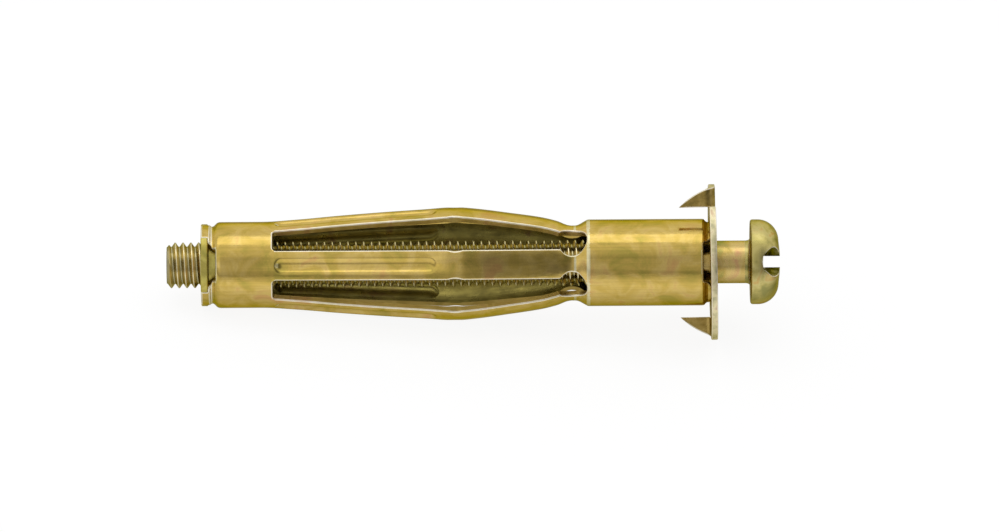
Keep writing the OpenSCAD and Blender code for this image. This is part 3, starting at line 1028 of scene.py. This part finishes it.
def make_screw():
    """The machine screw: rolled thread, plain shank, pan head with slot and cross."""
    thread = grown(mesh_of([], []), THREAD, {
        "Start": TIP_X, "End": THREAD_END, "Pitch": PITCH, "Crest": THREAD_R,
        "Root": THREAD_R - THREAD_DEEP, "Chamfer": THREAD_R - 0.5, "Plain": SHANK_R,
        "Around": 60, "Rows": thread_rows(THREAD_END - TIP_X), "Finish": screw_zinc})
    thread.transform(Matrix.Rotation(THREAD_TURN, 4, "X"))
    tip = turned([(TIP_X, 0), (TIP_X, THREAD_R - THREAD_DEEP - 0.04)], 60)
    shank = turned([(THREAD_END, SHANK_R), (HEAD_X - 0.45, SHANK_R)], 60)
    shaft = outward(welded([thread, tip, shank], 1e-3))
    finishes = (screw_zinc, head_zinc, recess_painted_shade, edge_painted_highlight)
    whole = welded([shaft, struck_head(finishes)], 1e-5)
    return finished("machine_screw_body", whole, finishes, "screw",
                    ["machine_screw"])


make_sleeve()
make_nut()
make_flange()
make_screw()


# -------------------- studio
def ray_kinds(tree):
    """Whether a ray comes off metal or through glass, and whether it is the camera's."""
    path = add(tree, "ShaderNodeLightPath")
    mirrored = add(tree, "ShaderNodeMath", {"operation": "MAXIMUM"},
                   {0: path.outputs["Is Glossy Ray"], 1: path.outputs["Is Transmission Ray"]})
    return mirrored, path.outputs["Is Camera Ray"]


def facing(tree, way, point):
    """How far a way in the world points along a way of the anchor as drawn."""
    dot = add(tree, "ShaderNodeVectorMath", {"operation": "DOT_PRODUCT"},
              {0: way, 1: tuple(LAY_DOWN @ Vector(point))})
    return dot.outputs["Value"]


def lay_floor():
    """White paper that the anchor lies on, open to the view from below."""
    low_flange = -(CORNER_Z * math.cos(LIE) + CORNER_Y * math.sin(LIE))
    slope = math.atan((-RIM_R - low_flange) / NUT_X)
    half = 3000
    floor = sheet_of([[(x, y, 0) for x in (-half, half)] for y in (-half, half)])
    floor.transform(Matrix.Scale(MM, 4) @ Matrix.Translation((0, 0, low_flange - 0.02))
                    @ Matrix.Rotation(-slope, 4, "Y"))
    paper = bpy.data.materials.new("white paper floor")
    tree = blank(paper)
    mirrored, camera_ray = ray_kinds(tree)
    seen = add(tree, "ShaderNodeMath", {"operation": "MAXIMUM"}, {0: camera_ray, 1: mirrored})
    matte = add(tree, "ShaderNodeBsdfDiffuse", {}, {"Color": hue("#f4f4f4")})
    # In the metal the paper is brightest just in front of the anchor, and dims away from it
    place = add(tree, "ShaderNodeTexCoord").outputs["Object"]
    along = add(tree, "ShaderNodeSeparateXYZ", {}, {"Vector": place})
    front = add(tree, "ShaderNodeMapRange", {}, {
        "Value": along.outputs["Y"], "From Min": -60 * MM, "From Max": 0.0})
    glow = add(tree, "ShaderNodeValToRGB", inputs={"Fac": front})
    stops = glow.color_ramp.elements
    stops[0].position, stops[0].color = 0.0, (0.6, 0.6, 0.6, 1)
    stops[1].position, stops[1].color = 1.0, (0.45, 0.45, 0.45, 1)
    for at, level in ((0.67, 0.92), (0.8, 0.92), (0.9, 0.7)):
        stops.new(at).color = (level, level, level, 1)
    paper_seen = add(tree, "ShaderNodeMix", {"data_type": "RGBA"},
                     {0: mirrored, 6: (1, 1, 1, 1), 7: glow.outputs["Color"]})
    white = add(tree, "ShaderNodeEmission", {}, {
        "Color": paper_seen.outputs[2], "Strength": 1.05})
    share = add(tree, "ShaderNodeMath", {"operation": "MULTIPLY"}, {0: seen, 1: 0.86})
    mixed = add(tree, "ShaderNodeMixShader", {}, {0: share, 1: matte, 2: white})
    side = add(tree, "ShaderNodeNewGeometry")
    clear = add(tree, "ShaderNodeBsdfTransparent")
    both = add(tree, "ShaderNodeMixShader", {}, {
        0: side.outputs["Backfacing"], 1: mixed, 2: clear})
    add(tree, "ShaderNodeOutputMaterial", {}, {"Surface": both})
    floor.materials.append(paper)
    thing("studio_floor", floor)


def light_room():
    """A white room, dimmer at its open front and low down, with a white backdrop."""
    world = bpy.data.worlds.new("white studio")
    bpy.context.scene.world = world
    tree = blank(world)
    way = add(tree, "ShaderNodeTexCoord").outputs["Generated"]
    front = add(tree, "ShaderNodeMapRange", {}, {
        "Value": facing(tree, way, (0.5, -0.86, 0.09)), "From Min": 0.74, "From Max": 0.96,
        "To Min": 0.85, "To Max": 0.22})
    upward = add(tree, "ShaderNodeSeparateXYZ", {}, {"Vector": way})
    low = add(tree, "ShaderNodeMapRange", {}, {
        "Value": upward.outputs["Z"], "From Min": 0.1, "From Max": 0.42,
        "To Min": 0.45, "To Max": 1.0})
    dim = add(tree, "ShaderNodeMath", {"operation": "MULTIPLY"}, {0: front, 1: low})
    # Metal shows the white backdrop too, which stands behind the anchor
    backdrop = add(tree, "ShaderNodeMath", {"operation": "GREATER_THAN"},
                   {0: facing(tree, way, (0, 1, 0)), 1: 0.2})
    mirrored, camera_ray = ray_kinds(tree)
    shown = add(tree, "ShaderNodeMath", {"operation": "MULTIPLY"}, {0: mirrored, 1: backdrop})
    shown = add(tree, "ShaderNodeMath", {"operation": "MULTIPLY"}, {0: shown, 1: 0.85})
    seen = add(tree, "ShaderNodeMath", {"operation": "MAXIMUM"}, {0: shown, 1: camera_ray})
    level = add(tree, "ShaderNodeMath", {"operation": "MAXIMUM"}, {0: dim, 1: seen})
    sky = add(tree, "ShaderNodeBackground", {}, {"Color": (1, 1, 1, 1), "Strength": level})
    add(tree, "ShaderNodeOutputWorld", {}, {"Surface": sky})


def hang_softbox():
    """A long softbox half a metre above the anchor, leaning a little."""
    softbox = bpy.data.lights.new("softbox", "AREA")
    softbox.shape, softbox.energy = "RECTANGLE", 0.38
    softbox.size, softbox.size_y = 800 * MM, 240 * MM
    lamp = thing("softbox", softbox)
    lamp.matrix_world = (Matrix.Rotation(math.radians(-12), 4, "X")
                         @ Matrix.Translation((-20 * MM, 0, 500 * MM)))


lay_floor()
light_room()
hang_softbox()
